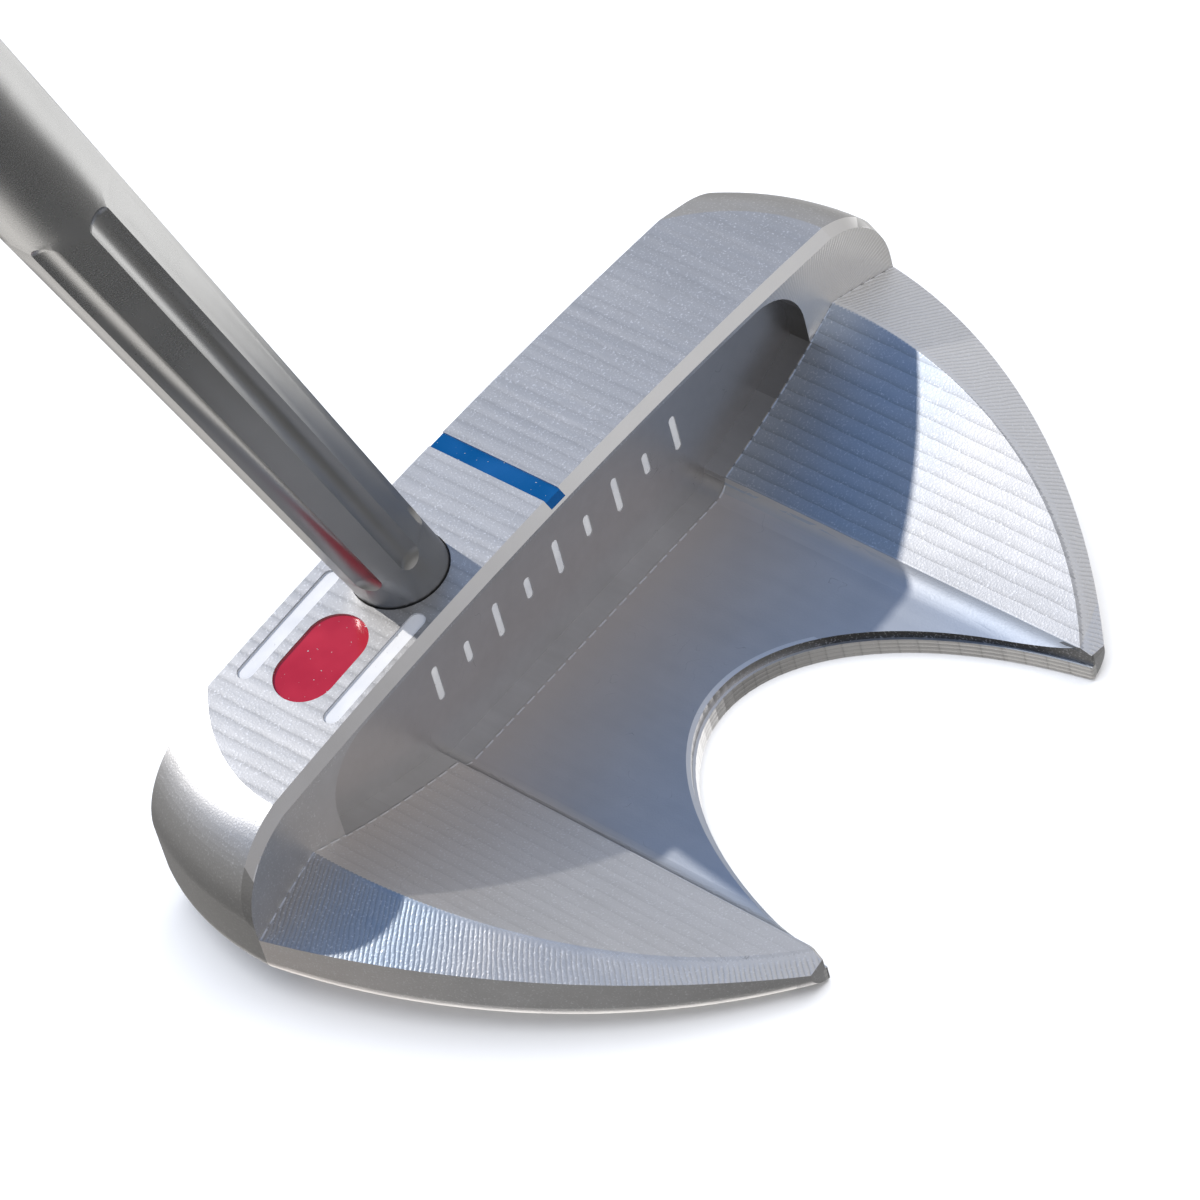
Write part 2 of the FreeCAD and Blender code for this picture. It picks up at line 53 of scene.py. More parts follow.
# %% A socket that can be used in sums
class Wire:
    """An output of a node. The operators add Math nodes, so they are for numbers only."""

    def __init__(self, graph, socket):
        self.graph = graph
        self.socket = socket

    def math(self, operation, *others, **settings):
        values = dict(enumerate((self,) + others))
        return self.graph.add("Math", dict(operation=operation, **settings), values)

    def __add__(self, other):
        return self.math("ADD", other)

    def __sub__(self, other):
        return self.math("SUBTRACT", other)

    def __mul__(self, other):
        return self.math("MULTIPLY", other)

    def __truediv__(self, other):
        return self.math("DIVIDE", other)

    def __pow__(self, other):
        return self.math("POWER", other)

    def __neg__(self):
        return self.math("MULTIPLY", -1)

    def __abs__(self):
        return self.math("ABSOLUTE")

    def __radd__(self, other):
        return self + other

    def __rmul__(self, other):
        return self * other

    def __rsub__(self, other):
        return -self + other

    def over(self, limit):
        return self.math("GREATER_THAN", limit)

    def under(self, limit):
        return self.math("LESS_THAN", limit)

    def near(self, value, reach):
        return abs(self - value).under(reach)

    def root(self):
        return self.math("MAXIMUM", 0).math("SQRT")

    def clamp(self):
        return self.math("ADD", 0, use_clamp=True)

    def fade(self, start, end):
        return ((self - start) / (end - start)).clamp()

# %% A node tree, and the one method that adds any node to it
class Graph:
    """A tree of nodes: of a material, of a shape or of the room."""

    def __init__(self, tree):
        self.tree = tree
        tree.nodes.clear()

    def add(self, kind, settings=None, values=None, take=0):
        """Make a node, its settings first, and give back the output to take from it."""
        family = "" if kind.startswith(("Geometry", "Node")) else "ShaderNode"
        node = self.tree.nodes.new(family + kind)
        for name, value in (settings or {}).items():
            if name == "stops":
                self.set_stops(node.color_ramp, value)
            else:
                setattr(node, name, value)
        for name, value in (values or {}).items():
            if isinstance(value, Wire):
                self.tree.links.new(value.socket, node.inputs[name])
            else:
                node.inputs[name].default_value = value
        return Wire(self, node.outputs[take] if node.outputs else None)

    def set_stops(self, ramp, stops):
        while len(ramp.elements) < len(stops):
            ramp.elements.new(0.5)
        for element, (place, colour) in zip(ramp.elements, stops):
            element.position = place
            element.color = (*colour, 1)

    def ramp(self, amount, *stops):
        return self.add("ValToRGB", {"stops": stops}, {0: amount})

    def parts(self, vector):
        """The three numbers in a vector or colour."""
        outputs = self.add("SeparateXYZ", {}, {0: vector}).socket.node.outputs
        return [Wire(self, socket) for socket in outputs]

# %% A finish
class Finish(Graph):
    """A material, built node by node, that knows each point's place on its piece."""

    def __init__(self, name):
        self.material = bpy.data.materials.new(name)
        self.material.use_nodes = True
        super().__init__(self.material.node_tree)
        self.place = self.add("TexCoord", take="Object")

    def mix(self, share, first, colour):
        """Lay a share of a colour over the first. The Mix node's colours are 6, 7 and 2."""
        return self.add("Mix", {"data_type": "RGBA"}, {0: share, 6: first, 7: (*colour, 1)}, 2)

    def noise(self, scale, detail=2.0, place=None):
        return self.add("TexNoise", {}, {"Vector": place or self.place, "Scale": scale,
                                         "Detail": detail})

    def bump(self, height, distance):
        return self.add("Bump", {}, {"Height": height, "Distance": distance})

    def done(self, **values):
        """Finish with a Principled surface; underscores stand for spaces."""
        named = {name.replace("_", " "): value for name, value in values.items()}
        surface = self.add("BsdfPrincipled", {}, named)
        self.add("OutputMaterial", {}, {"Surface": surface})
        self.tell("finished")
        return self.material

    def tell(self, what):
        print(f"{self.material.name}: {what}, {len(self.tree.nodes)} nodes")

# %% [markdown]
# ## Where a point is on the head
#
# The head is one solid, so its material has to find out which face it is on. Attributes
# painted on the mesh would do it, but they would be lost whenever the solid is rebuilt. So
# the material does what the machinist's program did: it knows the height of each milled
# surface over the plan, and the surface with the lowest height is the one that was cut.

# %% Sizes of the milled surfaces, in millimetres from the front edge of the crown
FACE_TO_ORIGIN, HEAD_HEIGHT = 15.0, 22.4
WALL, TOP_DEPTH, RECESS_WALL = -15.6, -14.6, -13.0
RIM_SPAN, RIM_FALL, RIM_PEAK, WING_RADIUS = 129.7, 84.2, -4.0, 77.4
STEP_HALF, STEP_TOP, DISH_RADIUS, DISH_OUTER, DISH_OUTER_Z = 20.9, -17.4, 105.0, 54.0, -2.7
DISH_FALL, WING_REACH = 0.8, 60.3
CRESCENT_MIDDLE, CRESCENT_DEPTH, CRESCENT_HALF, LEDGE = -73.7, 42.4, 22.0, -20.4

def arc_centre(start, end, radius):
    """Centre of the arc from start to end that bulges downwards."""
    middle, chord = (start + end) / 2, end - start
    rise = math.sqrt(radius ** 2 - (chord.length / 2) ** 2)
    return middle + Vector((-chord.y, chord.x)).normalized() * rise

dish_centre = arc_centre(Vector((STEP_HALF, STEP_TOP)), Vector((DISH_OUTER, DISH_OUTER_Z)),
                         DISH_RADIUS)
print("dish centre", tuple(round(c, 2) for c in dish_centre))

# %% Each point's place, and the way it faces
steel = Finish("milled_steel")
x, y, z = (part * 1000 for part in steel.parts(steel.place))
y, z = y - FACE_TO_ORIGIN, z - HEAD_HEIGHT
_, ny, nz = steel.parts(steel.add("NewGeometry", take="True Normal"))
side, toe, heel = abs(x), x.over(0), x.under(0)
up, behind = nz.over(0.5), y.under(WALL - 0.02)
steel.tell("places")

# %% Zones of the front bar: each is 1 on its own face and 0 on the others
crown = nz.over(0.985) * y.over(TOP_DEPTH - 0.02) * z.over(-3.2)
face = ny.over(0.9)
band = y.over(WALL - 0.02) * ny.under(-0.3) * nz.over(0.3)
wall = ny.under(-0.97) * y.near(WALL, 0.2)
recess = ny.under(-0.97) * y.near(RECESS_WALL, 0.2)
hollow = up * y.over(WALL - 0.1) * z.under(-5)
inside = y.near(-14.2, 1.5) * z.under(-3.5) * side.under(38)
ends = ny.over(-0.5) * y.over(WALL) * side.over(30) * (1 - face) * (1 - crown)
# The end mask is made heavier on the lower, steeper parts and at the toe, for a painted shade darker
# towards the bottom of the ends; the grain and the glints use it too.
ends = ends * ((1 - nz) * 2.2 + toe * 0.4).clamp() * nz.fade(-0.45, -0.2)
steel.tell("zones of the bar")

# %% [markdown]
# ## Furrows of the cutter
#
# A ball-nosed cutter leaves long shallow furrows along its path. They run from the face to
# the rear on the crown and the wings, in short ribs across the rim, and in a fan round the
# toe end of the wall. The crescent was cut by the side of the tool, in layers. Modelling
# them would take millions of faces for a depth of a hundredth of a millimetre. They are
# heights for a Bump node instead, and a sine gives both the scallops and their cusps.

# %% Furrows, and thin lines
def furrows(across, pitch):
    """A row of scallops, 0 at the cusps between two passes and 1 in their middles."""
    return abs((across * (math.pi / pitch)).math("SINE"))

def thin_line(middle, reach):
    """A thin line where a length is nearly zero."""
    return 1 - (abs(middle) / reach).clamp()

# %% Uneven metal: soft clouds, fine grain, and streaks along the cutter's path
cloud = steel.noise(260.0, 3.0)
grain = steel.noise(4600.0)
drawn_out = steel.add("Mapping", {}, {"Vector": steel.place, "Scale": (1, 0.06, 1)})
streaks = steel.noise(900.0, 3.0, drawn_out)
steel.tell("grain")

# %% Zones of the wings, the rim and the trough
def rim_over_dish(x, y):
    """How far the rim's surface lies above the dished slope, at a place in the plan."""
    fall = ((WALL - y) / (WING_REACH + WALL)) * DISH_FALL
    bowl = dish_centre.y - (DISH_RADIUS ** 2 - (abs(x) - dish_centre.x) ** 2).root() - fall
    arch = (RIM_SPAN ** 2 - x ** 2).root() - RIM_SPAN + RIM_PEAK
    return (RIM_FALL ** 2 - (y - WALL) ** 2).root() - RIM_FALL + arch - bowl

round_rim = ((y + 1.3) / (side + 26.8)).math("ARCTANGENT") * WING_RADIUS
rib = furrows(round_rim + cloud * 0.8 + side * 0.08, 0.52)
above = rim_over_dish(x, y) - rib * 0.12
wing = up * behind
rim = wing * above.under(0) * side.over(STEP_HALF)
ribbed = rim * above.fade(-0.1, -0.5)
slope = wing * above.over(0) * side.over(STEP_HALF - 0.3)
trough = behind * side.under(STEP_HALF + 0.05) * nz.over(0.02)
step = behind * side.near(STEP_HALF - 1.0, 1.15) * z.under(-10)
sole = nz.under(-0.6)
steel.tell("zones of the wings")

# %% Zones of the crescent, whose edge is an oval in the plan
across, along = x / CRESCENT_HALF, (y - CRESCENT_MIDDLE) / CRESCENT_DEPTH
oval = (across ** 2 + along ** 2).root()
cut = oval.near(1, 0.025) * y.under(-30) * nz.near(0, 0.3)
upper_cut, lower_cut = cut * z.over(LEDGE), cut * z.under(LEDGE)
round_cut = across.math("ARCTAN2", along) * 32
lip = (1 - ((oval - 1) * 49).clamp()) * up * y.under(-30) * x.fade(10, -2)
hull = behind * oval.over(1.15) * nz.fade(-0.05, -0.35)
steel.tell("zones of the crescent")

# %% Marks on each zone
crown_row = furrows(x + cloud * 0.5, 1.65)
passes = ((x + cloud * 0.35) / 1.5).math("FRACT")
deep = slope * (toe * 0.7 + 0.3)
fan_cut = wall * furrows((z + 12).math("ARCTAN2", side - 36) * 14, 0.55) * x.fade(26, 36)
layers, facets = furrows(z, 0.55), furrows(round_cut, 1.9)
face_arcs = face * furrows((x ** 2 + (z + 75) ** 2).root(), 0.9)
dashes = thin_line(y - WALL + 0.06, 0.18) * up * z.under(-5) * furrows(x, 1.6).over(0.45)
steel.tell("marks")

# %% Heights, in millimetres, for the Bump node
height = crown * crown_row * 0.010 + deep * passes * 0.030 + face_arcs * 0.012
height = height + ribbed * rib * (grain + 0.2) * 0.045 + fan_cut * 0.02 + dashes * 0.06
height = height + upper_cut * furrows(round_cut, 1.5) * 0.05 + lower_cut * (layers + facets) * 0.02
height = height + (trough + sole) * streaks * 0.002 + grain * (ends * 0.010 + 0.011)

over_floor = z + (WALL - y) / (WING_REACH + WALL) * DISH_FALL
rounded_step = ((over_floor + 19) / 1.6).clamp() * behind * toe
normal = steel.bump(height - rounded_step * 0.5 - lip * 0.3, 0.001)
steel.tell("heights")

# %% [markdown]
# ## Tones of the steel
#
# Bare steel has one colour, but it never looks like one. Cusps are darker than the furrows and a
# worn edge is bright. The ray tracer gives some of the rest, and the rest is painted into the
# colour here: painted glints and edge highlights, painted light on faces, painted shade in the
# recess and corners, and painted reflections, brown beside the wall and blue out in the open.
# Each tone is a share of a colour laid over the last, so that one can be changed without the
# others.

# %% Scratches, worn edges, and painted glints and edge highlights
# Painted highlights: bright points laid into the colour of the blasted faces, where glints would
# show under the lamp.
painted_glint = grain.fade(0.57, 0.73) * (1 - trough) * (1 - band) * (1 - inside) * (1 - ends * 0.7)
scratch = thin_line(steel.noise(700.0, 0.0) - 0.5, 0.006) * cloud.fade(0.62, 0.64)
scratch = scratch * (recess + trough + slope * heel)
# The bright edge lines are partly wear and partly painted highlight: thin lines along the step edge,
# the rim's edge and the dashed burr along the wall.
worn = thin_line(x - STEP_HALF - 0.15, 0.14) * wing * 0.4 + thin_line(above, 0.08) * slope * 0.5
worn = (worn * streaks.fade(0.3, 0.5) + dashes * 0.7).clamp()
steel.tell("wear")

# %% Dark cusps and scratches, and painted shade in the recess and at the heel step
dark = deep * (1 - passes) ** 4 * 0.34 + crown * (1 - crown_row) ** 2 * x.fade(60, -40) * 0.3
dark = dark + ribbed * (1 - rib) ** 2 * 0.3 + fan_cut * 0.12
dark = dark + lower_cut * (1 - layers) ** 3 * 0.28 + lower_cut * (1 - facets) ** 6 * 0.25
# Painted shade: the recess floor and wall darker towards the toe end.
dark = dark + (hollow * 0.5 + recess * 0.25) * x.fade(12, 28)
# Painted shade on the steep heel side of the step; the scratches are real marks.
dark = dark + step * heel * nz.fade(0.95, 0.75) * 0.6 + scratch * 0.5
steel.tell("dark marks")

# %% Painted light: faces lightened in colour where light and reflections fall on them
# Painted light and painted reflection: the rim, the heel slope, the band, the heel walls, the
# crescent's lower cut and lip, the toe step and the hull are made lighter.
painted_light = rim * (toe * 0.6 + heel * y.fade(-25, -55) * 0.5) + slope * heel * 0.3
painted_light = painted_light + band * x.fade(-35, 10) * 0.6 + (wall + recess) * x.fade(-12, -32) * 0.2
painted_light = painted_light + lower_cut * (toe * 0.3 + 0.5) + step * toe * 0.2 + lip.over(0) * 0.7 + hull * 0.8
steel.tell("pale faces")

# %% All the tones, in the order in which they are laid
painted_wall_reflection = behind * y.fade(-36, -17) * x.under(20) * (1 - rim)
heel_rim = rim * heel
TONES = [
    # Painted shade: the crown darker towards the toe, where the lamp's highlight falls off.
    (crown * x.fade(-35, 45) * 0.45, (0.34, 0.35, 0.37)),
    (painted_light, (0.90, 0.89, 0.88)),
    # Painted reflection: a brown tint on the wings and trough beside the wall.
    (painted_wall_reflection * 0.5, (0.76, 0.69, 0.65)),
    # Painted reflection and shade: the recess wall browner and darker.
    (recess * 0.3, (0.50, 0.45, 0.43)),
    # Painted shade: the band darker towards the heel.
    (band * x.fade(5, -32) * 0.4, (0.36, 0.34, 0.335)),
    # Painted reflection of a blue sky: the trough bluer towards the crescent.
    (trough * y.fade(-26, -48) * 0.4, (0.40, 0.52, 0.70)),
    # Painted reflection of a blue sky on the shaded toe wing, near the wall.
    (slope * toe * y.fade(-38, -27) * 0.35, (0.34, 0.48, 0.66)),
    # Painted blue reflection on the heel rim, in a band behind the wall.
    (heel_rim * y.fade(-16, -26) * y.fade(-36, -29) * 0.5, (0.28, 0.41, 0.56)),
    # Painted shade on the heel rim next to the wall.
    (heel_rim * y.fade(-27, -17) * 0.4, (0.30, 0.27, 0.26)),
    # Painted light: the wall lighter at its toe end.
    (wall * x.fade(24, 38), (1.0, 0.99, 0.98)),
    # Painted shade and painted dark reflection on the ends of the bar.
    (ends * 0.85, (0.24, 0.237, 0.233)),
    # Painted shade on the upper cut of the crescent, on the toe side.
    (upper_cut * x.fade(1, 11) * x.fade(23, 20), (0.10, 0.10, 0.10)),
    # Dark cusps and scratches, with the painted shade of the recess and the heel step.
    (dark.clamp(), (0.12, 0.12, 0.12)),
    # Painted glints and painted edge highlights, partly real wear on the edges.
    (painted_glint * 0.5 + worn * 0.7, (0.92, 0.93, 0.96)),
]
tone = steel.ramp(streaks * 0.5 + cloud * 0.5, (0.3, (0.52, 0.52, 0.525)), (0.7, (0.60, 0.60, 0.61)))
for share, colour in TONES:
    tone = steel.mix(share, tone, colour)
steel.tell(f"{len(TONES)} tones")

# %% Roughness, and the steel put on the head
def dress(name, material):
    piece = nodes[name]
    piece.data.materials.clear()
    piece.data.materials.append(material)

rough = 0.42 + crown * 0.10 + slope * 0.08 + rim * 0.10 + trough * 0.15 - recess * 0.05
rough = rough + step * 0.06 + (streaks - 0.5) * 0.12 - worn * 0.1
dress("head_body", steel.done(Base_Color=tone, Metallic=1.0, Roughness=rough, Normal=normal))

# %% [markdown]
# ## Enamel
#
# The aim marks are pockets, flooded with coloured enamel that levels itself and is then
# baked. It is smooth and glossy, with a few specks of dust and a faint ripple. A plain
# glossy colour would look like plastic. A clear coat over the colour gives the depth of
# enamel, and noise gives the dust. The blue line is thin and duller, with no coat.

# %% Red, white and blue enamel
def enamel(name, colour, roughness=0.18, gloss=0.5, coat=0.6):
    fill = Finish(name)
    cloud = fill.noise(220.0)
    specks = fill.noise(2600.0, 1.0).fade(0.74, 0.78)
    lighter = tuple(min(1.0, c * 1.18 + 0.01) for c in colour)
    tint = fill.mix(specks * 0.8, fill.ramp(cloud, (0.35, colour), (0.7, lighter)), (0.8, 0.8, 0.8))
    return fill.done(Base_Color=tint, Roughness=roughness, Normal=fill.bump(cloud + specks, 0.00004),
                     Coat_Weight=coat, Coat_Roughness=0.06, Specular_IOR_Level=gloss)

dress("aim_dot_fill", enamel("red_enamel", (0.48, 0.011, 0.032)))
dress("sight_line_fill", enamel("blue_enamel", (0.0, 0.088, 0.28), 0.35, 0.1, 0.0))
white = enamel("white_enamel", (0.86, 0.87, 0.9), 0.25)
for name in ("aim_line_fill_face_side", "aim_line_fill_back_side", "gauge_tick_fills"):
    dress(name, white)

# %% [markdown]
# ## Dark plating on the shaft
#
# The shaft is drawn steel with a thin dark satin plating, darker and duller towards its low
# end by the head. It could be a dark paint under a clear coat, but then
# its long highlights would be white and hard. A metal with a grey tint and an edge tint
# below white keeps them soft. The height along the piece makes the low end duller.

# %% Dark plating
PLATING_DULL_END, PLATING_BRIGHT_START = 0.024, 0.085

def dark_plating():
    plate = Finish("dark_plating")
    fine = plate.noise(4200.0)
    broad = plate.noise(90.0, 3.0)
    low = plate.parts(plate.place)[2].fade(PLATING_BRIGHT_START, PLATING_DULL_END)
    tint = plate.ramp(broad, (0.3, (0.42, 0.42, 0.416)), (0.7, (0.48, 0.48, 0.476)))
    return plate.done(Base_Color=plate.mix(low * 0.42, tint, (0.14, 0.14, 0.14)), Metallic=0.97,
                      Roughness=0.21 + broad * 0.08 + fine * 0.05 + low * 0.08,
                      Specular_Tint=(0.7, 0.7, 0.7, 1), Normal=plate.bump(fine, 0.000003))

dress("shaft", dark_plating())

# %% [markdown]
# ## Glue, plug and tape
#
# The glue shows only as a black ring where the shaft enters the head, and the plug and the
# tape are hidden inside. All three are dull stuff with a mottled skin, so one short
# function makes them, with its own colour, roughness and scale for each.

# %% Dull stuff
def dull(name, colour, roughness, scale, depth):
    skin = Finish(name)
    mottle = skin.noise(scale, 3.0)
    lighter = tuple(c * 1.35 + 0.003 for c in colour)
    return skin.done(Base_Color=skin.ramp(mottle, (0.3, colour), (0.7, lighter)),
                     Roughness=roughness + mottle * 0.1, Normal=skin.bump(mottle, depth))

dress("shaft_epoxy", dull("black_epoxy", (0.006, 0.006, 0.007), 0.35, 1500.0, 0.00003))
dress("tip_plug", dull("plug_rubber", (0.02, 0.02, 0.02), 0.6, 1500.0, 0.00003))
dress("grip_tape", dull("grip_tape", (0.5, 0.45, 0.34), 0.7, 900.0, 0.00002))

# %% [markdown]
# ## Rubber of the grip
#
# A putter grip is moulded in soft rubber, and its mould is etched with a fine leathery
# crease. Plain noise would give it pits. The distance to the edges of Voronoi cells gives
# closed cells with creases between them, which is what leather has. Rubber is never quite
# black: it turns grey where hands have worn it, in broad patches.

# %% Moulded rubber
def grip_rubber():
    rubber = Finish("grip_rubber")
    cells = rubber.add("TexVoronoi", {"feature": "DISTANCE_TO_EDGE"},
                       {"Vector": rubber.place, "Scale": 1100.0})
    creases = cells.fade(0.16, 0.02)
    fine = rubber.noise(3000.0)
    worn = rubber.noise(30.0, 3.0)
    # The creases also make the tone darker: painted shade in the creases of the grain.
    tint = rubber.ramp(fine * 0.4 + worn * 0.6 - creases * 0.2,
                       (0.2, (0.008, 0.008, 0.009)), (0.75, (0.024, 0.024, 0.026)))
    return rubber.done(Base_Color=tint, Roughness=0.6 + fine * 0.12 + creases * 0.1,
                       Normal=rubber.bump(fine * 0.3 - creases, 0.00012))

rubber = grip_rubber()
dress("grip_body", rubber)
dress("grip_cap", rubber)

# %% [markdown]
# ## Tread on the grip
#
# The flat front of a putter grip is moulded with small raised nubs, in rows set half a
# step apart, so that the thumbs don't slip. Each is the same little dome, which makes it a
# job for Geometry Nodes: a grid of points, a rule for which points lie on the flat, and
# one dome on each. A bump texture would be lighter, but its outline would stay flat.

# %% Named sizes of the tread
def add_sizes(tree):
    """Give the tree its inputs and its output, and return how many inputs it has."""
    sizes = {"Float": ("Length", "Width", "Nub Radius", "Nub Rise", "Belly",
                       "Half Flat At Mouth", "Half Flat At Belly", "Half Flat At Top"),
             "Int": ("Rows", "Across"), "Material": ("Rubber",)}
    for kind, names in sizes.items():
        for name in names:
            tree.interface.new_socket(name, in_out="INPUT", socket_type=f"NodeSocket{kind}")
    tree.interface.new_socket("Nubs", in_out="OUTPUT", socket_type="NodeSocketGeometry")
    return sum(map(len, sizes.values()))

# %% A tree that sets nubs in staggered rows
def tread_tree():
    tree = bpy.data.node_groups.new("tread", "GeometryNodeTree")
    print("tread tree:", add_sizes(tree), "inputs")
    graph = Graph(tree)
    sizes = graph.add("NodeGroupInput").socket.node.outputs
    given = {socket.name: Wire(graph, socket) for socket in sizes if socket.name}
    length, width, in_a_row = given["Length"], given["Width"], given["Across"]
    grid = graph.add("GeometryNodeMeshGrid", {}, {
        "Size X": length, "Size Y": width, "Vertices X": given["Rows"], "Vertices Y": in_a_row})

    row = (graph.add("GeometryNodeInputIndex") / in_a_row).math("FLOOR")
    shift = row.math("MODULO", 2) * width / in_a_row * 0.5
    moved = graph.add("GeometryNodeSetPosition", {}, {
        "Geometry": grid, "Offset": graph.add("CombineXYZ", {}, {"Y": shift})})

    lengthwise, off_middle, _ = graph.parts(graph.add("GeometryNodeInputPosition"))
    rising = graph.add("MapRange", {}, {
        0: lengthwise, 1: length * -0.5, 2: given["Belly"], 3: given["Half Flat At Mouth"],
        4: given["Half Flat At Belly"]})
    falling = graph.add("MapRange", {}, {
        0: lengthwise, 1: given["Belly"], 2: length * 0.5, 3: given["Half Flat At Belly"],
        4: given["Half Flat At Top"]})
    on_flat = abs(off_middle).under(rising.math("MINIMUM", falling))

    dome = graph.add("GeometryNodeMeshUVSphere", {}, {"Segments": 10, "Rings": 6, "Radius": 1.0})
    radius = given["Nub Radius"]
    size = graph.add("CombineXYZ", {}, {"X": radius, "Y": radius, "Z": given["Nub Rise"]})
    nubs = graph.add("GeometryNodeInstanceOnPoints", {}, {
        "Points": moved, "Selection": on_flat, "Instance": dome, "Scale": size})
    solid = graph.add("GeometryNodeRealizeInstances", {}, {"Geometry": nubs})
    painted = graph.add("GeometryNodeSetMaterial", {}, {
        "Geometry": solid, "Material": given["Rubber"]})
    graph.add("NodeGroupOutput", {}, {"Nubs": painted})
    return tree

# %% Where the flat of the grip lies
SHAFT_PLACE = (Matrix.Translation((-0.01464, 0.00736, 0.0224))
               @ Matrix.Rotation(math.radians(-18), 4, "Y"))
FLAT_START, FLAT_END = Vector((0.0084, 0, 0.575)), Vector((0.0104, 0, 0.837))

def flat_place():
    """Carries the tread's own X along the flat and its Z out of it."""
    lengthwise = (FLAT_END - FLAT_START).normalized()
    outwards = Vector((lengthwise.z, 0, -lengthwise.x))
    axes = Matrix((lengthwise, outwards.cross(lengthwise), outwards)).transposed().to_4x4()
    return SHAFT_PLACE @ Matrix.Translation((FLAT_START + FLAT_END) / 2) @ axes

print("the grip's flat is", round((FLAT_END - FLAT_START).length * 1000), "mm long")

# %% Nubs on the flat of the grip
TREAD = {"Length": 0.240, "Width": 0.0224, "Rows": 81, "Across": 8, "Nub Radius": 0.00085,
         "Nub Rise": 0.0003, "Belly": 0.061, "Half Flat At Mouth": 0.0015,
         "Half Flat At Belly": 0.0088, "Half Flat At Top": 0.0068, "Rubber": rubber}

def make_tread():
    piece = bpy.data.objects.new("grip_tread", bpy.data.meshes.new("grip_tread"))
    bpy.context.scene.collection.objects.link(piece)
    moulding = piece.modifiers.new("tread", "NODES")
    moulding.node_group = tread_tree()
    for socket in moulding.node_group.interface.items_tree:
        if socket.in_out == "INPUT":
            moulding[socket.identifier] = TREAD[socket.name]
    seen = piece.evaluated_get(bpy.context.evaluated_depsgraph_get())
    plain = bpy.data.meshes.new_from_object(seen)
    piece.modifiers.remove(moulding)
    piece.data = plain
    plain.transform(flat_place())
    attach(piece, "root")
    print("tread:", len(plain.vertices), "vertices")

make_tread()

# %% [markdown]
# ## Floor
#
# A putter stands on a pale, even ground. A plane would end in view, and a curved backdrop
# would show in the steel as a band. So the floor is one very wide sheet that the steel
# doesn't mirror, and the steel mirrors the room instead, which is easier to shape.

# %% Floor
FLOOR_HALF = 20

def make_floor():
    mesh = bpy.data.meshes.new("floor")
    corners = [(-1, -1), (1, -1), (1, 1), (-1, 1)]
    mesh.from_pydata([(a * FLOOR_HALF, b * FLOOR_HALF, 0) for a, b in corners], [], [(0, 1, 2, 3)])
    sheet = bpy.data.objects.new("floor", mesh)
    bpy.context.scene.collection.objects.link(sheet)
    paint = Finish("pale_floor")
    tint = paint.ramp(paint.noise(3.0), (0.3, (0.86, 0.86, 0.86)), (0.7, (0.88, 0.88, 0.88)))
    mesh.materials.append(paint.done(Base_Color=tint, Roughness=0.8))
    sheet.visible_glossy = False
    return sheet

floor = make_floor()

# %% [markdown]
# ## Lamps
#
# A small hard lamp in front of the face, above it, throws the bar's shade over the wings,
# and so shows how deep they are. It would throw the club's shade on the floor too. A large
# soft lamp for everything would avoid that, but it would lose the shade on the wings. So
# light linking keeps the hard lamp off the floor, which has a wide lamp of its own.

# %% Lamps, each for the putter alone or for the floor alone
LAMP_DISTANCE = 3.0

def lamp(name, kind, towards, power, colour, on_floor):
    light = bpy.data.lights.new(name, kind)
    light.energy, light.color = power, colour
    holder = bpy.data.objects.new(name, light)
    bpy.context.scene.collection.objects.link(holder)
    direction = Vector(towards).normalized()
    holder.location = direction * LAMP_DISTANCE
    holder.rotation_euler = (-direction).to_track_quat("-Z", "Y").to_euler()
    lit = bpy.data.collections.new(f"lit_by_{name}")
    lit.objects.link(floor)
    lit.collection_objects[0].light_linking.link_state = "INCLUDE" if on_floor else "EXCLUDE"
    holder.light_linking.receiver_collection = lit
    print("lamp", name, tuple(round(c, 2) for c in holder.location))
    return light

key = lamp("key", "AREA", (-0.097, 0.79, 0.61), 84.0, (1.0, 0.96, 0.90), False)
key.shape, key.size = "DISK", 0.07
wash = lamp("floor_wash", "SUN", (0.1, 0.1, 1.0), 3.2, (1.0, 0.99, 0.97), True)
wash.angle = math.radians(70)

# %% [markdown]
# ## Room
#
# Steel shows what is around it, so the room matters more than the lamps. A captured
# room would need an image. This one is a ramp, read by how near a direction is to a point
# overhead: blue there, white along the walls and grey below. Two white cards lie low down,
# one on the toe side for the shaft and one under the head for its hull.

# %% Colours by direction
def glow(room, towards, *stops):
    """Colours from 0, for what lies opposite to towards, to 1, for what lies along it."""
    middle = Vector(towards).normalized()
    outward = room.add("TexCoord", take="Generated")
    along = room.add("VectorMath", {"operation": "DOT_PRODUCT"}, {0: outward, 1: middle}, "Value")
    return room.ramp(along * 0.5 + 0.5, *stops)

def both(room, first, second):
    return room.add("VectorMath", {"operation": "ADD"}, {0: first, 1: second})

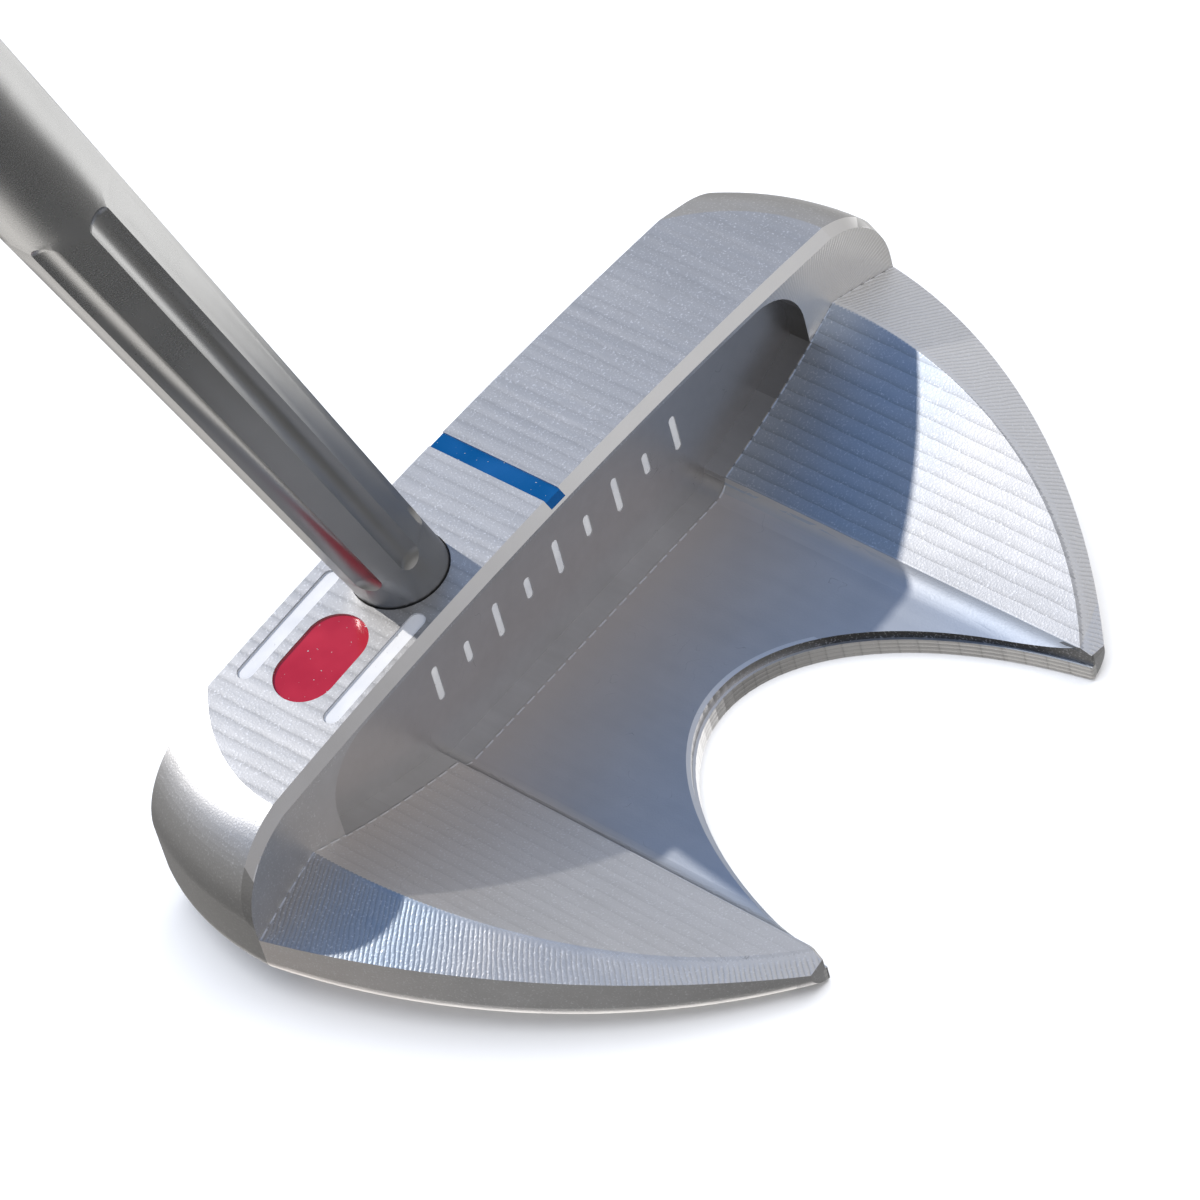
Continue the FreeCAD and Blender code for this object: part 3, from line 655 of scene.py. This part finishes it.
# %% Walls and two cards
def make_room():
    world = bpy.data.worlds.new("room")
    bpy.context.scene.world = world
    world.use_nodes = True
    room = Graph(world.node_tree)
    walls = glow(room, (-0.05, 0.35, 0.93),
                 (0.02, (0.14, 0.14, 0.14)), (0.15, (0.38, 0.375, 0.37)),
                 (0.26, (0.18, 0.178, 0.175)), (0.34, (0.33, 0.325, 0.32)),
                 (0.42, (0.45, 0.44, 0.43)), (0.55, (0.80, 0.79, 0.78)),
                 (0.75, (0.82, 0.82, 0.84)), (0.92, (0.25, 0.35, 0.57)),
                 (1.0, (0.05, 0.17, 0.40)))
    toe_card = glow(room, (0.80, 0.10, -0.60), (0.915, (0, 0, 0)), (0.96, (1.5, 1.5, 1.5)))
    low_card = glow(room, (0.0, 0.25, -0.97), (0.935, (0, 0, 0)), (0.965, (1.15, 1.11, 1.07)))
    light = room.add("Background", {}, {"Color": both(room, both(room, walls, toe_card), low_card)})
    room.add("OutputWorld", {}, {"Surface": light})
    print("room:", len(room.tree.nodes), "nodes")

make_room()
bpy.context.scene.view_settings.view_transform = "Standard"

# %% [markdown]
# ## Camera
#
# The putter is seen from above and behind, on the heel side, from about two thirds of a
# metre, with the head filling the frame and the shaft leaving it at a corner. A camera
# could be aimed with a constraint. Its place, direction and roll are written out instead,
# because they fix every slope in the view. The lens is long, so perspective is weak.

# %% Camera
EYE = Vector((-0.28109, -0.34947, 0.49054))
AHEAD = Vector((0.4277, 0.5282, -0.7335)).normalized()
ROLL, LENS, SENSOR = math.radians(-16.10), 203.892, 36.0

def make_camera():
    level = AHEAD.cross(Vector((0, 0, 1))).normalized()
    upright = level.cross(AHEAD)
    rightwards = level * math.cos(ROLL) + upright * math.sin(ROLL)
    upwards = upright * math.cos(ROLL) - level * math.sin(ROLL)
    axes = Matrix((rightwards, upwards, -AHEAD)).transposed().to_4x4()
    camera = bpy.data.objects.new("camera", bpy.data.cameras.new("camera"))
    bpy.context.scene.collection.objects.link(camera)
    camera.matrix_world = Matrix.Translation(EYE) @ axes
    camera.data.sensor_width = SENSOR
    camera.data.lens = LENS
    camera.data.clip_start = 0.01
    bpy.context.scene.camera = camera
    print("camera lens", round(camera.data.lens), "mm")

make_camera()
